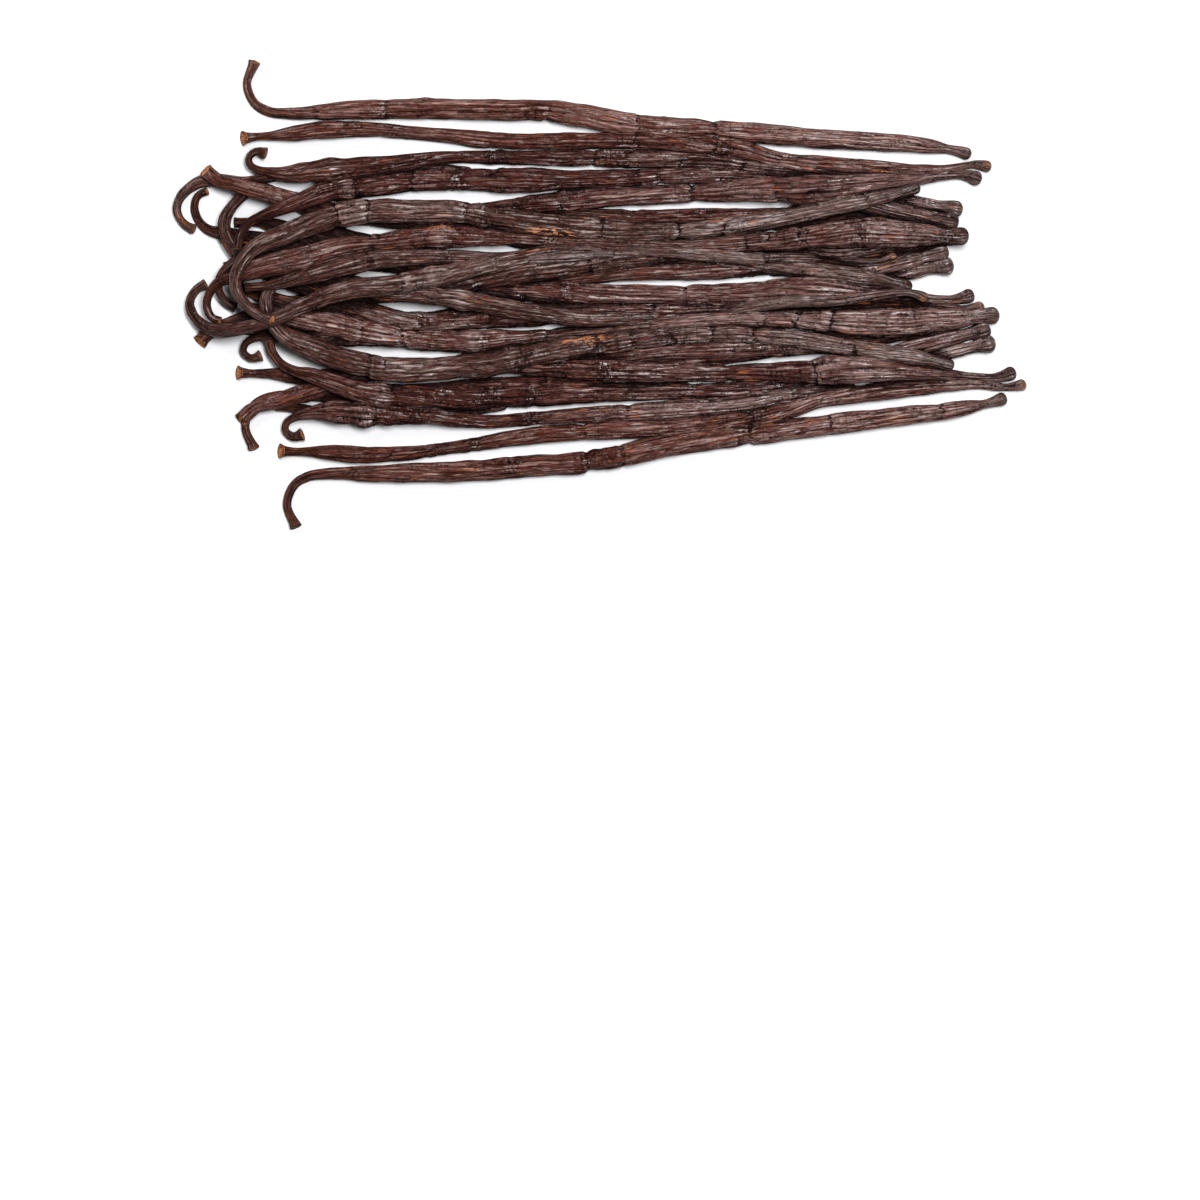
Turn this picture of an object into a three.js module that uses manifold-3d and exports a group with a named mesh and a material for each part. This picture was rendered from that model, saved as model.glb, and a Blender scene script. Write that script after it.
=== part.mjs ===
// A bundle of vanilla pods: three dozen whole dried pods lying loose, side by side and over
// each other, with their curled stem ends to the left and their knobbed tips to the right.
// Millimetres, +Z up, +X along the pods towards the tips. The bundle rests on z = 0.

import * as THREE from 'three';
import { mergeVertices } from 'three/addons/utils/BufferGeometryUtils.js';
import Module from 'manifold-3d';

const wasm = await Module();
wasm.setup();

// How a pod is faceted
const SIDES = 6;
const STEP_LENGTH = 25; // a straight stretch between two rings
const STEP_TURN = THREE.MathUtils.degToRad(30); // or this much of a curl
const ROUND_OUT = 1.07; // a six-sided ring is drawn this much larger than the round one it stands for

// The section of a pod: a thin stem is nearly round, a full belly is pressed flat
const STEM_WIDTH = 1.8;
const BELLY_WIDTH = 4.6;
const STEM_THICKNESS = 0.92; // of the width
const BELLY_THICKNESS = 0.72; // of the width

// The ends: where the pod was cut from the vine it flares, and at the tip it has a small knob
const FLARE = 0.32; // added to the width at the very end
const FLARE_LENGTH = 1.3;
const KNOB = 0.2;
const KNOB_LENGTH = 1.6;
const KNOB_ROUNDING = 0.55; // how far the tip is domed, of its width, before the route ends

// How the pods lie on the table and on each other
const PRESSED_FLAT = 0.25; // what the table flattens off the underside of a pod
const PRESSED_IN = 0.8; // how far a pod is pressed into those below it
const BEARING = 0.6; // the middle part of a pod's width that carries another; the flanks give way
const DRAPE = 0.018; // how sharply a pod sags after a crossing, in mm of drop per mm squared
const SMOOTHING = 2.5; // the stretch over which a pod evens out its bends
const STATION = 0.5; // the spacing at which a pod's height is worked out
const CELL = 0.5; // the side of a cell in the map of heights
const MAP_HALF_LENGTH = 100;
const MAP_HALF_WIDTH = 60;

// The twelve pods of a handful, lowest first. Each route runs from the stem end to the tip
// through points of [x, y, width of the pod there].
const HANDFUL = [
  // wide and short-stemmed, under the middle
  [[-74.5, 0.2, 1.5], [-69, 0.5, 2], [-63, 2.2, 3.6], [-54.6, 4.2, 4.4], [-50, 5.3, 4.1],
    [-46, 6.1, 3.7], [-40, 6.4, 3.6], [-33.6, 6.6, 3.3], [-21, 6.3, 2.6], [-9, 6.4, 2.2],
    [3, 7.6, 1.7]],
  // its stem is covered, its tip lies in the fan on the right
  [[-34, 15.7, 1.8], [-27, 15.2, 2.1], [-17, 15.3, 2.4], [-8.4, 15.9, 2.5], [8.4, 15.2, 3.2],
    [21, 15.3, 3.8], [33.6, 15.5, 3.4], [46, 16.2, 3.2], [55, 18.3, 3], [63, 18.6, 2.8],
    [69, 17.8, 2.8], [76, 16.7, 2.9]],
  // thin, only its bare stem shows
  [[-75.6, 22.5, 1.5], [-71, 23.1, 2.2], [-65, 24.7, 2.6], [-56.7, 25.8, 2.4], [-48, 25.6, 2.5],
    [-40, 25.3, 2.6], [-33, 25.3, 2.5], [-27, 24.4, 1.9]],
  // short and broken off, with the brightest cut end
  [[-83.3, 25.3, 2.4], [-81.4, 23.6, 2.9], [-79.6, 22.4, 2.8], [-75.6, 21.4, 3.2], [-70.3, 20, 3.7],
    [-63, 18.3, 3.8], [-56.7, 16.7, 3.5], [-48, 15.6, 2.4]],
  // stem end bent down, tip fanned out
  [[-76, 8.2, 1.6], [-75.6, 10.9, 1.8], [-73.7, 13.7, 1.9], [-71, 15.3, 2], [-68.3, 16.2, 2.7],
    [-63, 18.2, 3.5], [-56.7, 20.5, 4.5], [-50, 21.5, 5], [-38, 22.9, 4.5], [-28, 22.9, 4.5],
    [-16, 22.7, 5.2], [-6, 22.9, 4.1], [6, 23.3, 3.9], [21, 23.9, 3.5], [37.8, 22.8, 3.5],
    [49, 20, 3.6], [56, 17.9, 3.9], [62, 16.4, 3.7], [68, 15.1, 3.4], [75, 13.8, 2.8]],
  // dark, knotted and glossy, with a covered stem
  [[-38, 16.2, 2], [-30, 16.3, 2.6], [-21, 17.1, 3.3], [-14.5, 17.8, 3.8], [-7, 18.5, 4.4],
    [0, 19.1, 4.3], [8.4, 19.6, 3.8], [24, 20.4, 4.2], [33.6, 20.8, 4.9], [41, 20.7, 5.7],
    [48, 21, 5.3], [56, 21.8, 4], [64, 22.7, 3], [72.5, 23.9, 2], [76.2, 24, 2.3], [80, 23, 2.5]],
  // small hook
  [[-69.9, 28.4, 2], [-72.1, 28.9, 1.7], [-73.7, 27.6, 1.6], [-73.4, 26, 1.6], [-71.8, 25, 1.7],
    [-69.5, 24.4, 2.3], [-66, 24, 3.5], [-62, 24.3, 4.9], [-56, 24.9, 5.3], [-44, 26.1, 3.6],
    [-32, 27.8, 2.8], [-20, 27.7, 3], [-6, 27.5, 3.6], [8, 27.3, 3.7], [21, 27, 3.4],
    [35, 25.5, 3.3], [46, 24.2, 2.4]],
  // small curl, then the widest belly near the tip
  [[-79.4, -6.7, 1.3], [-81.6, -5.8, 1.7], [-82.5, -3.2, 1.7], [-81.6, -0.4, 1.8],
    [-79.6, 1.5, 2.2], [-76, 2.5, 3], [-72, 3.9, 3.9], [-63, 5.9, 4.6], [-54.6, 8.2, 4.5],
    [-42, 10.2, 4.5], [-33, 11.1, 5], [-29, 11, 4.7], [-24, 10.8, 3.5], [-16, 10.4, 2.4],
    [-9, 10, 2.4], [0, 9.4, 2.6], [21, 9, 3], [36, 10, 4.3], [46, 11.1, 5.3], [54, 11.7, 6.2],
    [62, 11.5, 5.5], [67, 11.4, 4.8], [72, 11.1, 3.5], [77, 11, 2.7]],
  // straight, cut square at the stem
  [[-75.6, 31.7, 2.3], [-72, 32.1, 1.7], [-68.5, 32.3, 2.2], [-64, 32.8, 3.3], [-58, 33.5, 3.5],
    [-48, 33.6, 3], [-40, 33, 2.6], [-32, 32.3, 2.9], [-26, 31.6, 3.4], [-18, 31.1, 3.5],
    [8.4, 31.1, 3.7], [20, 30.5, 4], [29.4, 29.4, 3.9], [38, 27.1, 3.2], [45, 26.2, 3.7],
    [54, 25.5, 3.9], [66, 25.2, 2.4], [72.5, 25.3, 1.9], [78, 26.2, 1.8], [82, 25.7, 1.8]],
  // long hook, outermost
  [[-72.5, 48, 1.9], [-74.2, 43.2, 1.7], [-72.7, 39.3, 1.9], [-69.8, 37.5, 2], [-65.5, 37, 2.3],
    [-52, 37.6, 3.8], [-38, 38, 4.2], [-22, 37.6, 4.4], [-13, 37.5, 4.5], [-5.2, 36.6, 4.7],
    [0.5, 35.6, 4.8], [8.4, 34.5, 4.6], [23.6, 33.4, 4.4], [42, 32, 4.1], [57, 31, 3.9],
    [66, 30.4, 3.4], [73.5, 29.4, 2.2], [77.8, 28.4, 2.1]],
  // big curl, crossing over the wide ones
  [[-82.6, 1.3, 1.7], [-84.4, 0.3, 1.8], [-85.7, -1.3, 1.8], [-86.2, -3.2, 1.9], [-85.5, -5.3, 2],
    [-83.8, -7.1, 2.3], [-81, -8.6, 2.7], [-77.3, -8.7, 2.9], [-68.3, -6.6, 3], [-63, -4, 3.4],
    [-52.5, -0.4, 4.2], [-45, 0.4, 4.1], [-38.5, 1.6, 4.2], [-33, 2.8, 4.2], [-26, 4.5, 3.8],
    [-18, 6.1, 3.4], [-12, 7.3, 3.4], [0, 8, 2.6], [12, 7.9, 2.5], [32, 6.3, 2.5], [43, 6.5, 2.4],
    [58, 5.5, 1.8], [62, 6.8, 1.7]],
  // wide and greyish, looped over all the rest
  [[-68, -7, 1.7], [-71.2, -5.8, 2.2], [-74.3, -3.2, 2.4], [-76, -0.6, 2.6], [-76.2, 2, 2.8],
    [-75, 5.2, 3.1], [-72.2, 8.3, 3.7], [-66.5, 11, 4.7], [-61, 13.4, 5], [-55, 15.2, 5.4],
    [-48, 16.3, 5], [-38, 16.2, 4.9], [-30, 16.1, 5.2], [-21, 14.6, 4.8], [0, 12.6, 4.4],
    [15, 12, 3.8], [30, 13.4, 3.8], [46, 16.6, 3.6], [60, 19.4, 3], [66.8, 21.3, 1.8]],
];

// Three like handfuls lie on each other, the lower two mirrored across their length
const MIRROR_TURN = THREE.MathUtils.degToRad(2.93);
const HANDFULS = [
  { mirrored: true, shift: [-2.7, 18.1] },
  { mirrored: true, shift: [6.1, 1.7] },
  { mirrored: false, shift: [0, 0] },
];

// Places one route point of a handful on the table.
function placed([x, y, width], { mirrored, shift }) {
  const side = mirrored ? -y : y;
  const turn = mirrored ? MIRROR_TURN : 0;
  return new THREE.Vector3(
    x * Math.cos(turn) - side * Math.sin(turn) + shift[0],
    x * Math.sin(turn) + side * Math.cos(turn) + shift[1],
    width,
  );
}

// Half the thickness of a pod where it has this width.
function halfThickness(width) {
  const fullness = THREE.MathUtils.clamp((width - STEM_WIDTH) / (BELLY_WIDTH - STEM_WIDTH), 0, 1);
  return (width / 2) * THREE.MathUtils.lerp(STEM_THICKNESS, BELLY_THICKNESS, fullness);
}

// The pod's centre line in plan as close stations, each with its sideways direction and its size.
function stationsAlong(route) {
  const curve = new THREE.CatmullRomCurve3(route, false, 'centripetal');
  const length = curve.getLength();
  // The stations stop short of the route's end, where the top of the tip's dome lies.
  const domed = Math.round((KNOB_ROUNDING * route.at(-1).z) / STATION);
  const points = curve.getSpacedPoints(Math.round(length / STATION)).slice(0, -domed);
  return points.map((point, i) => {
    const before = points[Math.max(i - 1, 0)];
    const after = points[Math.min(i + 1, points.length - 1)];
    const along = new THREE.Vector2(after.x - before.x, after.y - before.y).normalize();
    const fromStem = i * STATION;
    const fromTip = (points.length - 1 - i) * STATION;
    const flare = 1 + FLARE * Math.exp(-fromStem / FLARE_LENGTH);
    const knob = 1 + KNOB * Math.exp(-((fromTip / KNOB_LENGTH) ** 2));
    const width = point.z * flare * knob;
    return { x: point.x, y: point.y, along, width, half: halfThickness(width) };
  });
}

// The map of how high the pile is so far.
const mapColumns = (2 * MAP_HALF_LENGTH) / CELL;
const mapRows = (2 * MAP_HALF_WIDTH) / CELL;
const heights = new Float32Array(mapColumns * mapRows);

function cellAt(x, y) {
  const column = Math.round((x + MAP_HALF_LENGTH) / CELL);
  const row = Math.round((y + MAP_HALF_WIDTH) / CELL);
  return row * mapColumns + column;
}

// Visits the bearing width of a station, with each map cell and how far the pod rises over its centre.
function acrossStation({ x, y, along, width, half }, visit) {
  const reach = (BEARING * width) / 2;
  const strips = Math.ceil(width / (CELL / 2));
  for (let i = 0; i <= strips; i += 1) {
    const offset = -reach + (2 * reach * i) / strips;
    const rise = half * Math.sqrt(1 - (offset / (width / 2)) ** 2);
    visit(cellAt(x + offset * along.y, y - offset * along.x), rise);
  }
}

// The height of the pod's centre line at each station, once it has settled on the pile.
function settle(stations) {
  const lowest = stations.map(({ half }) => half - PRESSED_FLAT);
  const needed = stations.map((station, i) => {
    let height = lowest[i];
    acrossStation(station, (cell, rise) => {
      if (heights[cell] > 0) height = Math.max(height, heights[cell] + rise - PRESSED_IN);
    });
    return height;
  });
  const draped = needed.map((_, i) => needed.reduce(
    (height, other, j) => Math.max(height, other - DRAPE * ((i - j) * STATION) ** 2),
    0,
  ));
  const reach = Math.round((3 * SMOOTHING) / STATION);
  return draped.map((_, i) => {
    let sum = 0;
    let weights = 0;
    for (let k = -reach; k <= reach; k += 1) {
      const j = THREE.MathUtils.clamp(i + k, 0, draped.length - 1);
      const weight = Math.exp(-0.5 * ((k * STATION) / SMOOTHING) ** 2);
      sum += weight * draped[j];
      weights += weight;
    }
    return Math.max(lowest[i], sum / weights);
  });
}

// Lays a pod on the pile and adds its top to the map.
function lay(route) {
  const stations = stationsAlong(route);
  const settled = settle(stations);
  stations.forEach((station, i) => {
    station.z = settled[i];
    acrossStation(station, (cell, rise) => {
      heights[cell] = Math.max(heights[cell], station.z + rise);
    });
  });
  return stations;
}

// Picks the stations that get a ring: close together round a curl, far apart on a straight stretch.
function ringStations(stations) {
  const spent = [0];
  for (let i = 1; i < stations.length; i += 1) {
    const { along } = stations[i];
    const turn = Math.abs(stations[i - 1].along.angleTo(along));
    spent.push(spent[i - 1] + STATION / STEP_LENGTH + turn / STEP_TURN);
  }
  const steps = Math.ceil(spent.at(-1));
  const rings = [];
  for (let step = 0; step <= steps; step += 1) {
    const wanted = (spent.at(-1) * step) / steps;
    rings.push(stations[spent.findIndex((value) => value >= wanted - 1e-9)]);
  }
  return rings;
}

// A pod as a solid: a cylinder whose rings are carried to their places along the route.
function podSolid(stations) {
  const rings = ringStations(stations);
  const steps = rings.length - 1;
  const geometry = new THREE.CylinderGeometry(1, 1, steps, SIDES, steps, false, Math.PI / 2);
  geometry.deleteAttribute('normal');
  geometry.deleteAttribute('uv');
  const merged = mergeVertices(geometry);
  const position = merged.getAttribute('position');
  for (let i = 0; i < position.count; i += 1) {
    const step = Math.round(position.getY(i) + steps / 2);
    const across = position.getX(i);
    const up = position.getZ(i);
    const ring = rings[step];
    const before = rings[Math.max(step - 1, 0)];
    const after = rings[Math.min(step + 1, steps)];
    const tangent = new THREE.Vector3(after.x - before.x, after.y - before.y, after.z - before.z).normalize();
    const right = new THREE.Vector3(tangent.y, -tangent.x, 0).normalize();
    const above = new THREE.Vector3().crossVectors(right, tangent);
    const isTipCentre = step === steps && across === 0 && up === 0;
    const place = new THREE.Vector3(ring.x, ring.y, ring.z)
      .addScaledVector(right, (across * ROUND_OUT * ring.width) / 2)
      .addScaledVector(above, up * ROUND_OUT * ring.half)
      .addScaledVector(tangent, isTipCentre ? KNOB_ROUNDING * ring.width : 0);
    position.setXYZ(i, place.x, place.y, place.z);
  }
  return solidOf(merged);
}

function solidOf(geometry) {
  return new wasm.Manifold(new wasm.Mesh({
    numProp: 3,
    vertProperties: new Float32Array(geometry.getAttribute('position').array),
    triVerts: new Uint32Array(geometry.index.array),
  }));
}

// Everything below the table top, which flattens the undersides of the lowest pods.
function belowTable() {
  const depth = 20;
  const box = new THREE.BoxGeometry(3 * MAP_HALF_LENGTH, 3 * MAP_HALF_WIDTH, depth);
  box.deleteAttribute('normal');
  box.deleteAttribute('uv');
  return solidOf(mergeVertices(box.translate(0, 0, -depth / 2)));
}

// All the pods joined into one body, without loose scraps and with sealed hollows filled.
function bundleSolid() {
  const pods = HANDFULS.flatMap((handful) => HANDFUL.map(
    (route) => podSolid(lay(route.map((point) => placed(point, handful)))),
  ));
  const joined = pods.reduce((bundle, pod) => bundle.add(pod)).subtract(belowTable());
  const bodies = joined.decompose();
  return bodies.reduce((largest, body) => (body.volume() > largest.volume() ? body : largest));
}

function geometryOf(solid) {
  const mesh = solid.getMesh();
  const geometry = new THREE.BufferGeometry();
  geometry.setAttribute('position', new THREE.BufferAttribute(mesh.vertProperties, 3));
  geometry.setIndex(new THREE.BufferAttribute(mesh.triVerts, 1));
  geometry.computeBoundingBox();
  return geometry;
}

const podSkin = new THREE.MeshStandardMaterial({ color: 0x4a2b24, roughness: 0.5, metalness: 0 });

const bundle = new THREE.Mesh(geometryOf(bundleSolid()), podSkin);
bundle.name = 'vanilla_pods';
const middle = bundle.geometry.boundingBox.getCenter(new THREE.Vector3());
bundle.position.set(-middle.x, -middle.y, 0);

const group = new THREE.Group();
group.add(bundle);

export default group;
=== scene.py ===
# %% [markdown]
# A bundle of vanilla pods.
# Three dozen dried pods lie loose on a table, side by side and over each other. A pod is an oily
# fruit as long as a hand. It shrinks as it is cured, so its skin lies in long wandering folds.
# The lesson draws each pod's line, lays it on the pile, wrinkles its skin and paints it.

import itertools
import math
from types import SimpleNamespace

import bpy
import numpy as np
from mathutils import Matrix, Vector


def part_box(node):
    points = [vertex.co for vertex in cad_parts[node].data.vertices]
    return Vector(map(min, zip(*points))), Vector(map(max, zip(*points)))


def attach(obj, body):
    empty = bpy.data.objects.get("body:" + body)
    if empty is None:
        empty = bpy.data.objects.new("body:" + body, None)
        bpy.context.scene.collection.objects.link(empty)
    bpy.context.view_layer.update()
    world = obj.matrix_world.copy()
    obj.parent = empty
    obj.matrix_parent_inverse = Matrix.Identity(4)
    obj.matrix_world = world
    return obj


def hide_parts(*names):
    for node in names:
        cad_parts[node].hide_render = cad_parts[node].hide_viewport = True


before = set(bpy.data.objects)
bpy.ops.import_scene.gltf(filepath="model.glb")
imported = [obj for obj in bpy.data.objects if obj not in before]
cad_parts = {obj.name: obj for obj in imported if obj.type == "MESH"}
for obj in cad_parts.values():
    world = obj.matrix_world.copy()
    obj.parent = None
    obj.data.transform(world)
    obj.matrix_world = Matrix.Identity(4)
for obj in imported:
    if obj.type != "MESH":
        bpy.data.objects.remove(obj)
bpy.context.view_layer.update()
node_low, node_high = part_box("vanilla_pods")
MM = 0.001
print("bundle, mm:", [round(side / MM, 1) for side in node_high - node_low])

# %% [markdown]
# The camera looks straight down, as over a copy stand. A long lens from a metre away keeps the
# pods from leaning outwards. The bundle lies in the upper half of the square picture, so the
# camera stands over the picture's middle, which is nearer to us than the bundle.

# %% Camera
PICTURE_SIDE = 252 * MM
CAMERA_HEIGHT = 1.0
SENSOR = 36.0
PICTURE_MIDDLE = (0.1 * MM, -64.1 * MM)

camera_data = bpy.data.cameras.new("copy_stand")
camera_data.sensor_width = SENSOR
camera_data.lens = SENSOR * CAMERA_HEIGHT / PICTURE_SIDE
camera = bpy.data.objects.new("copy_stand", camera_data)
camera.location = (*PICTURE_MIDDLE, CAMERA_HEIGHT)
bpy.context.scene.collection.objects.link(camera)
bpy.context.scene.camera = camera
bpy.context.scene.view_settings.view_transform = "Standard"
print("lens, mm:", round(camera_data.lens, 1))

# %% [markdown]
# Oily brown skin is nearly black by itself, and what we see of it is mostly the light that slides
# along its ridges. A long soft box overhead, laid the pods' way, makes those glints along the top
# of each pod and reaches the table in the gaps. A smaller one at the side gives the shadows a way
# to fall. A bright dome all round would lay a grey veil over everything, so the world stays dim.

# %% Light
WORLD_STRENGTH = 0.11
# name, place in metres, sides in metres, power in watts
SOFT_BOXES = [
    ("overhead", (0.31, 0.20, 1.35), (0.80, 0.30), 21.5),
    ("window_side", (-0.50, 0.75, 0.80), (0.35, 0.35), 5.5),
]

world = bpy.data.worlds.new("studio")
world.use_nodes = True
world.node_tree.nodes["Background"].inputs["Color"].default_value = (1.0, 1.0, 1.0, 1.0)
world.node_tree.nodes["Background"].inputs["Strength"].default_value = WORLD_STRENGTH
bpy.context.scene.world = world

for name, place, sides, power in SOFT_BOXES:
    box_data = bpy.data.lights.new(name, "AREA")
    box_data.shape = "RECTANGLE"
    box_data.size, box_data.size_y = sides
    box_data.energy = power
    box = bpy.data.objects.new(name, box_data)
    box.location = place
    box.rotation_euler = (-Vector(place)).to_track_quat("-Z", "Y").to_euler()
    bpy.context.scene.collection.objects.link(box)
print("soft boxes:", len(SOFT_BOXES))

# %% [markdown]
# The twelve pods of one handful. A pod's line could be a Bezier curve drawn in the viewport. Here
# it is a short list of points, because the width swells and shrinks along the pod too, and a
# third number at each point holds it. All are in millimetres, from the stem end to the tip, the
# lowest pod first.

# %% The lines of one handful: x, y and the width there
HANDFUL = {
    # wide and short-stemmed, under the middle
    "under_middle": [
        (-74.5, 0.2, 1.5), (-69, 0.5, 2), (-63, 2.2, 3.6), (-54.6, 4.2, 4.4), (-50, 5.3, 4.1),
        (-46, 6.1, 3.7), (-40, 6.4, 3.6), (-33.6, 6.6, 3.3), (-21, 6.3, 2.6), (-9, 6.4, 2.2),
        (3, 7.6, 1.7)],
    # its stem is covered, its tip lies in the fan on the right
    "fan_tip": [
        (-34, 15.7, 1.8), (-27, 15.2, 2.1), (-17, 15.3, 2.4), (-8.4, 15.9, 2.5), (8.4, 15.2, 3.2),
        (21, 15.3, 3.8), (33.6, 15.5, 3.4), (46, 16.2, 3.2), (55, 18.3, 3), (63, 18.6, 2.8),
        (69, 17.8, 2.8), (76, 16.7, 2.9)],
    # thin, only its bare stem shows
    "bare_stem": [
        (-75.6, 22.5, 1.5), (-71, 23.1, 2.2), (-65, 24.7, 2.6), (-56.7, 25.8, 2.4), (-48, 25.6, 2.5),
        (-40, 25.3, 2.6), (-33, 25.3, 2.5), (-27, 24.4, 1.9)],
    # short and broken off, with the brightest cut end
    "bright_end": [
        (-83.3, 25.3, 2.4), (-81.4, 23.6, 2.9), (-79.6, 22.4, 2.8), (-75.6, 21.4, 3.2),
        (-70.3, 20, 3.7), (-63, 18.3, 3.8), (-56.7, 16.7, 3.5), (-48, 15.6, 2.4)],
    # stem end bent down, tip fanned out
    "bent_stem": [
        (-76, 8.2, 1.6), (-75.6, 10.9, 1.8), (-73.7, 13.7, 1.9), (-71, 15.3, 2), (-68.3, 16.2, 2.7),
        (-63, 18.2, 3.5), (-56.7, 20.5, 4.5), (-50, 21.5, 5), (-38, 22.9, 4.5), (-28, 22.9, 4.5),
        (-16, 22.7, 5.2), (-6, 22.9, 4.1), (6, 23.3, 3.9), (21, 23.9, 3.5), (37.8, 22.8, 3.5),
        (49, 20, 3.6), (56, 17.9, 3.9), (62, 16.4, 3.7), (68, 15.1, 3.4), (75, 13.8, 2.8)],
    # dark, knotted and glossy, with a covered stem
    "knotted": [
        (-38, 16.2, 2), (-30, 16.3, 2.6), (-21, 17.1, 3.3), (-14.5, 17.8, 3.8), (-7, 18.5, 4.4),
        (0, 19.1, 4.3), (8.4, 19.6, 3.8), (24, 20.4, 4.2), (33.6, 20.8, 4.9), (41, 20.7, 5.7),
        (48, 21, 5.3), (56, 21.8, 4), (64, 22.7, 3), (72.5, 23.9, 2), (76.2, 24, 2.3),
        (80, 23, 2.5)],
    # small hook
    "small_hook": [
        (-69.9, 28.4, 2), (-72.1, 28.9, 1.7), (-73.7, 27.6, 1.6), (-73.4, 26, 1.6), (-71.8, 25, 1.7),
        (-69.5, 24.4, 2.3), (-66, 24, 3.5), (-62, 24.3, 4.9), (-56, 24.9, 5.3), (-44, 26.1, 3.6),
        (-32, 27.8, 2.8), (-20, 27.7, 3), (-6, 27.5, 3.6), (8, 27.3, 3.7), (21, 27, 3.4),
        (35, 25.5, 3.3), (46, 24.2, 2.4)],
    # small curl, then the widest belly near the tip
    "wide_belly": [
        (-79.4, -6.7, 1.3), (-81.6, -5.8, 1.7), (-82.5, -3.2, 1.7), (-81.6, -0.4, 1.8),
        (-79.6, 1.5, 2.2), (-76, 2.5, 3), (-72, 3.9, 3.9), (-63, 5.9, 4.6), (-54.6, 8.2, 4.5),
        (-42, 10.2, 4.5), (-33, 11.1, 5), (-29, 11, 4.7), (-24, 10.8, 3.5), (-16, 10.4, 2.4),
        (-9, 10, 2.4), (0, 9.4, 2.6), (21, 9, 3), (36, 10, 4.3), (46, 11.1, 5.3), (54, 11.7, 6.2),
        (62, 11.5, 5.5), (67, 11.4, 4.8), (72, 11.1, 3.5), (77, 11, 2.7)],
    # straight, cut square at the stem
    "square_cut": [
        (-75.6, 31.7, 2.3), (-72, 32.1, 1.7), (-68.5, 32.3, 2.2), (-64, 32.8, 3.3), (-58, 33.5, 3.5),
        (-48, 33.6, 3), (-40, 33, 2.6), (-32, 32.3, 2.9), (-26, 31.6, 3.4), (-18, 31.1, 3.5),
        (8.4, 31.1, 3.7), (20, 30.5, 4), (29.4, 29.4, 3.9), (38, 27.1, 3.2), (45, 26.2, 3.7),
        (54, 25.5, 3.9), (66, 25.2, 2.4), (72.5, 25.3, 1.9), (78, 26.2, 1.8), (82, 25.7, 1.8)],
    # long hook, outermost
    "long_hook": [
        (-72.5, 48, 1.9), (-74.2, 43.2, 1.7), (-72.7, 39.3, 1.9), (-69.8, 37.5, 2), (-65.5, 37, 2.3),
        (-52, 37.6, 3.8), (-38, 38, 4.2), (-22, 37.6, 4.4), (-13, 37.5, 4.5), (-5.2, 36.6, 4.7),
        (0.5, 35.6, 4.8), (8.4, 34.5, 4.6), (23.6, 33.4, 4.4), (42, 32, 4.1), (57, 31, 3.9),
        (66, 30.4, 3.4), (73.5, 29.4, 2.2), (77.8, 28.4, 2.1)],
    # big curl, crossing over the wide ones
    "big_curl": [
        (-82.6, 1.3, 1.7), (-84.4, 0.3, 1.8), (-85.7, -1.3, 1.8), (-86.2, -3.2, 1.9),
        (-85.5, -5.3, 2), (-83.8, -7.1, 2.3), (-81, -8.6, 2.7), (-77.3, -8.7, 2.9),
        (-68.3, -6.6, 3), (-63, -4, 3.4), (-52.5, -0.4, 4.2), (-45, 0.4, 4.1), (-38.5, 1.6, 4.2),
        (-33, 2.8, 4.2), (-26, 4.5, 3.8), (-18, 6.1, 3.4), (-12, 7.3, 3.4), (0, 8, 2.6),
        (12, 7.9, 2.5), (32, 6.3, 2.5), (43, 6.5, 2.4), (58, 5.5, 1.8), (62, 6.8, 1.7)],
    # wide and greyish, looped over all the rest
    "wide_loop": [
        (-68, -7, 1.7), (-71.2, -5.8, 2.2), (-74.3, -3.2, 2.4), (-76, -0.6, 2.6), (-76.2, 2, 2.8),
        (-75, 5.2, 3.1), (-72.2, 8.3, 3.7), (-66.5, 11, 4.7), (-61, 13.4, 5), (-55, 15.2, 5.4),
        (-48, 16.3, 5), (-38, 16.2, 4.9), (-30, 16.1, 5.2), (-21, 14.6, 4.8), (0, 12.6, 4.4),
        (15, 12, 3.8), (30, 13.4, 3.8), (46, 16.6, 3.6), (60, 19.4, 3), (66.8, 21.3, 1.8)],
}
print("pods in a handful:", len(HANDFUL))

# %% [markdown]
# The bundle is three such handfuls on each other, the lower two turned over across their length.
# Copying an object and scaling it by -1 would do that, but it would copy every wrinkle too. Only
# the lines are mirrored here, and each pod then gets wrinkles of its own.

# %% Where each handful lies
MIRROR_TURN = math.radians(2.93)
HANDFULS = [
    SimpleNamespace(mirrored=True, shift=(-2.7, 18.1)),
    SimpleNamespace(mirrored=True, shift=(6.1, 1.7)),
    SimpleNamespace(mirrored=False, shift=(0.0, 0.0)),
]


def placed(route, handful):
    """The points of a route where the handful lies on the table."""
    x, y, width = np.array(route, float).T
    side = -y if handful.mirrored else y
    turn = MIRROR_TURN if handful.mirrored else 0.0
    along = x * math.cos(turn) - side * math.sin(turn) + handful.shift[0]
    across = x * math.sin(turn) + side * math.cos(turn) + handful.shift[1]
    return np.stack([along, across, width], axis=1)


print("pods in all:", len(HANDFUL) * len(HANDFULS))

# %% [markdown]
# A pod bends smoothly, so a curve is run through the points. A Catmull-Rom curve passes through
# every one of them, which a Bezier's or a NURBS curve's control points wouldn't, and its
# centripetal kind makes no loops in the tight hooks. Rings are then set along it at even steps.
# The width gets the flare of the cut stem, the knob at the tip and the neck behind it.

# %% Stations along a pod
RING_SPACING = 0.8
STEM_WIDTH, BELLY_WIDTH = 1.8, 4.6
STEM_THICKNESS, BELLY_THICKNESS = 0.92, 0.72
FLARE, FLARE_LENGTH = 0.36, 1.1
KNOB, KNOB_LENGTH = 0.26, 1.5
NECK, NECK_FROM_TIP, NECK_LENGTH = 0.15, 3.9, 1.5
DOME_LENGTH = 0.40
CURVE_STEPS = 24


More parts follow.
